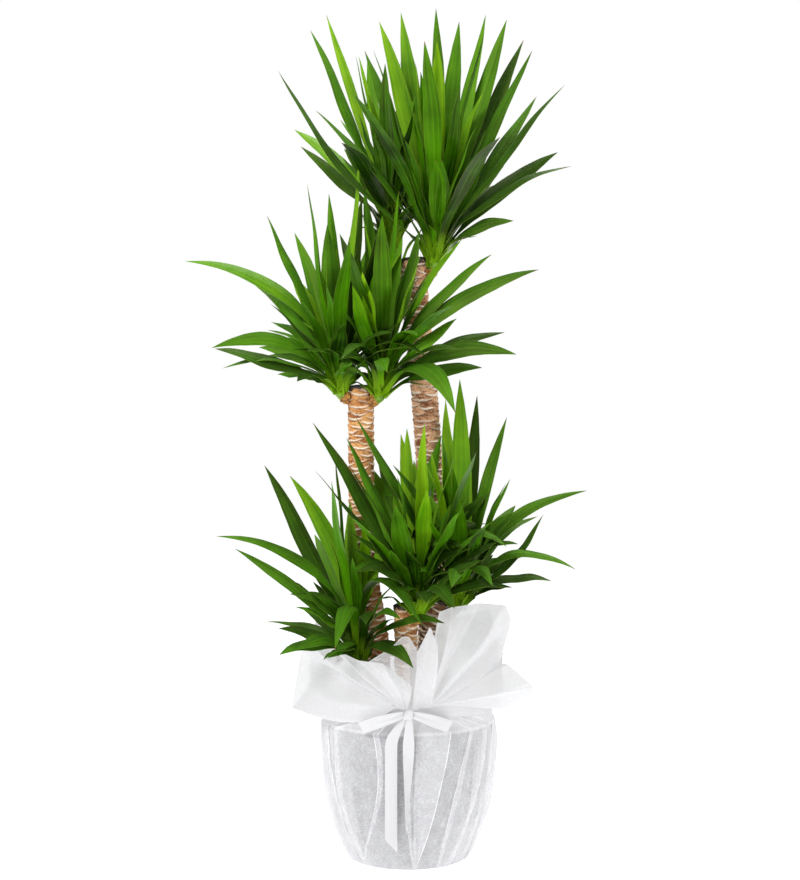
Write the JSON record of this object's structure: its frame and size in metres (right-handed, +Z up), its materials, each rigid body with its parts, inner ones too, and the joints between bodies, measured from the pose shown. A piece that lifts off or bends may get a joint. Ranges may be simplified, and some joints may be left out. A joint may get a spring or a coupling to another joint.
{
  "type": "potted yucca",
  "caption": "Yucca plant with four rooted canes and crowns of long pointed leaves, in a round pot wrapped in white fleece and tied with a ribbon bow.",
  "frame": {"origin": "on the floor, at the centre of the wrapped pot's flat base", "axes": "+Z up; -Y is the front, where the bow is; +X to the right seen from the front"},
  "size_m": [0.6904, 0.4726, 1.4921],
  "materials": {
    "pot_plastic": "matte moulded plastic",
    "soil": "damp peat-based potting compost",
    "fleece": "thin translucent non-woven fibre sheet",
    "ribbon": "satin",
    "bark": "rough, ringed with pale leaf scars",
    "wax": "dark sealing wax, semi-gloss",
    "shoot": "waxy green stem",
    "leaf": "semi-gloss leaf, finely ribbed"
  },
  "bodies": {
    "root": {"pot": "pot_plastic", "soil": "soil", "fleece_wrap": "fleece", "ribbon_band": "ribbon", "bow_knot": "ribbon", "bow_loop_left": "ribbon", "bow_loop_right": "ribbon", "ribbon_tail_left": "ribbon", "ribbon_tail_right": "ribbon", "cane_tall": "bark", "cane_medium": "bark", "cane_short_front": "bark", "cane_short_right": "bark", "wax_tall": "wax", "wax_medium": "wax", "wax_short_front": "wax", "wax_short_right": "wax", "shoot_tall_right": "shoot", "shoot_tall_left": "shoot", "shoot_medium_left": "shoot", "shoot_medium_right": "shoot", "shoot_front_main": "shoot", "shoot_front_small": "shoot", "shoot_right": "shoot", "shoot_low_left": "shoot", "leaves_tall_right_outer": "leaf", "leaves_tall_right_middle": "leaf", "leaves_tall_right_inner": "leaf", "leaves_tall_left_outer": "leaf", "leaves_tall_left_middle": "leaf", "leaves_tall_left_inner": "leaf", "leaves_medium_left_outer": "leaf", "leaves_medium_left_middle": "leaf", "leaves_medium_left_inner": "leaf", "leaves_medium_right_outer": "leaf", "leaves_medium_right_middle": "leaf", "leaves_medium_right_inner": "leaf", "leaves_front_main_outer": "leaf", "leaves_front_main_middle": "leaf", "leaves_front_main_inner": "leaf", "leaves_front_small_outer": "leaf", "leaves_front_small_middle": "leaf", "leaves_front_small_inner": "leaf", "leaves_right_outer": "leaf", "leaves_right_middle": "leaf", "leaves_right_inner": "leaf", "leaves_low_left_outer": "leaf", "leaves_low_left_middle": "leaf", "leaves_low_left_inner": "leaf"}
  },
  "joints": []
}
